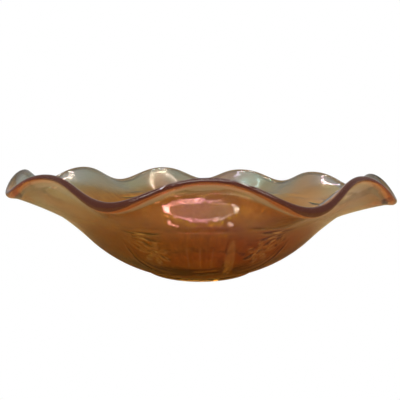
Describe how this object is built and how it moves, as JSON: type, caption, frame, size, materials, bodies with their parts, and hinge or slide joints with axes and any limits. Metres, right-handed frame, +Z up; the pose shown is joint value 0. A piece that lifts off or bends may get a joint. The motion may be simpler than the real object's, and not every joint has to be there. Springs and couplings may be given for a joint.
{
  "type": "ruffled glass bowl",
  "caption": "Wide ruffled bowl of amber iridised pressed glass on a low collar foot, with raised flowers and leaves outside.",
  "frame": {"origin": "centre of the flat annular face of the collar foot, on the surface the bowl stands on", "axes": "+Z up along the bowl's turning axis, -Y the front, +X to the right seen from the front"},
  "size_m": [0.2941, 0.2894, 0.0835],
  "materials": {
    "amber_glass": "fire-polished amber glass with a thin iridescent film of gold, pink and green"
  },
  "bodies": {
    "root": {"foot_ring": "amber_glass", "base_disc": "amber_glass", "cup_wall": "amber_glass", "flare_wall": "amber_glass", "ruffled_skirt": "amber_glass", "rim_bead": "amber_glass", "flower_centres": "amber_glass", "flower_petals": "amber_glass", "flower_stems": "amber_glass", "leaf_blades": "amber_glass", "tall_leaves": "amber_glass", "buds": "amber_glass", "wall_ribs": "amber_glass"}
  },
  "joints": []
}
